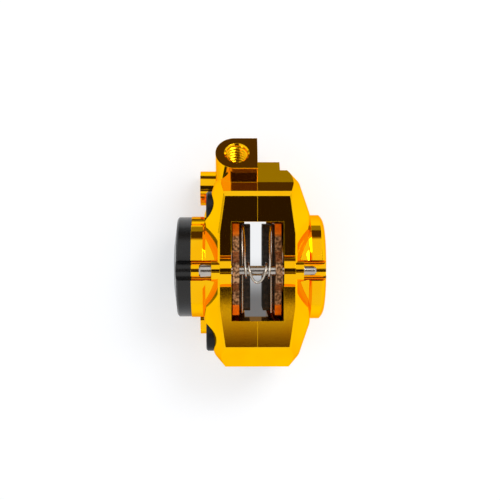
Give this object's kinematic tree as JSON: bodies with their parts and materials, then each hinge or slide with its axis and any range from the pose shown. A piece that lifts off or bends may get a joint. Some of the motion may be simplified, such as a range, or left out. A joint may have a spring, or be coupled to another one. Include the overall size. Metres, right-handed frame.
{
  "type": "brake caliper",
  "caption": "Small opposed-piston disc brake caliper in gold anodised aluminium, bolted together from machined halves, with pads, pad pin and wire pad spring.",
  "frame": {"origin": "where the piston axis crosses the plane between the two body halves", "axes": "+X along the piston and rotor axis towards the half without the hose port, +Y along the rotor's travel towards the hose port, +Z out of the pad window, away from the wheel centre"},
  "size_m": [0.0386, 0.0567, 0.0308],
  "materials": {
    "gold_anodised": "gold anodised, fine machined",
    "black_anodised": "black anodised, turned",
    "piston_metal": "hard anodised, ground",
    "copper_plate": "copper coloured plating",
    "friction": "moulded friction compound",
    "bright_steel": "ground stainless",
    "spring_steel": "drawn stainless wire",
    "black_steel": "black oxide",
    "seal_rubber": "moulded rubber"
  },
  "bodies": {
    "caliper_body": {"body_half_left": "gold_anodised", "body_half_right": "gold_anodised", "bore_cap": "black_anodised", "bore_cap_o_ring": "seal_rubber", "piston_seal_left": "seal_rubber", "piston_seal_right": "seal_rubber", "piston_wiper_left": "seal_rubber", "piston_wiper_right": "seal_rubber", "body_bolts": "black_steel", "crossover_o_ring": "seal_rubber", "bleed_plug": "black_steel", "bleed_washer": "bright_steel", "pad_spring": "spring_steel"},
    "left_piston": {"piston_left": "piston_metal"},
    "right_piston": {"piston_right": "piston_metal"},
    "left_pad": {"pad_backplate_left": "copper_plate", "pad_friction_left": "friction"},
    "right_pad": {"pad_backplate_right": "copper_plate", "pad_friction_right": "friction"},
    "retaining_pin": {"pad_pin": "bright_steel"}
  },
  "joints": [
    {"name": "left_piston_slide", "type": "slide", "parent": "caliper_body", "child": "left_piston", "axis": [1, 0, 0], "range_m": [0, 0.0014], "deforming": ["pad_spring"]},
    {"name": "right_piston_slide", "type": "slide", "parent": "caliper_body", "child": "right_piston", "axis": [-1, 0, 0], "range_m": [0, 0.0014]},
    {"name": "left_pad_slide", "type": "slide", "parent": "caliper_body", "child": "left_pad", "axis": [1, 0, 0], "range_m": [0, 0.0014], "deforming": ["pad_spring"]},
    {"name": "right_pad_slide", "type": "slide", "parent": "caliper_body", "child": "right_pad", "axis": [-1, 0, 0], "range_m": [0, 0.0014], "deforming": ["pad_spring"]},
    {"name": "pin_withdrawal", "type": "slide", "parent": "caliper_body", "child": "retaining_pin", "axis": [-1, 0, 0], "range_m": [0, 0.028]}
  ],
  "couplings": [
    {"joint": "right_piston_slide", "follows": "left_piston_slide", "ratio": 1},
    {"joint": "left_pad_slide", "follows": "left_piston_slide", "ratio": 1},
    {"joint": "right_pad_slide", "follows": "left_piston_slide", "ratio": 1}
  ]
}
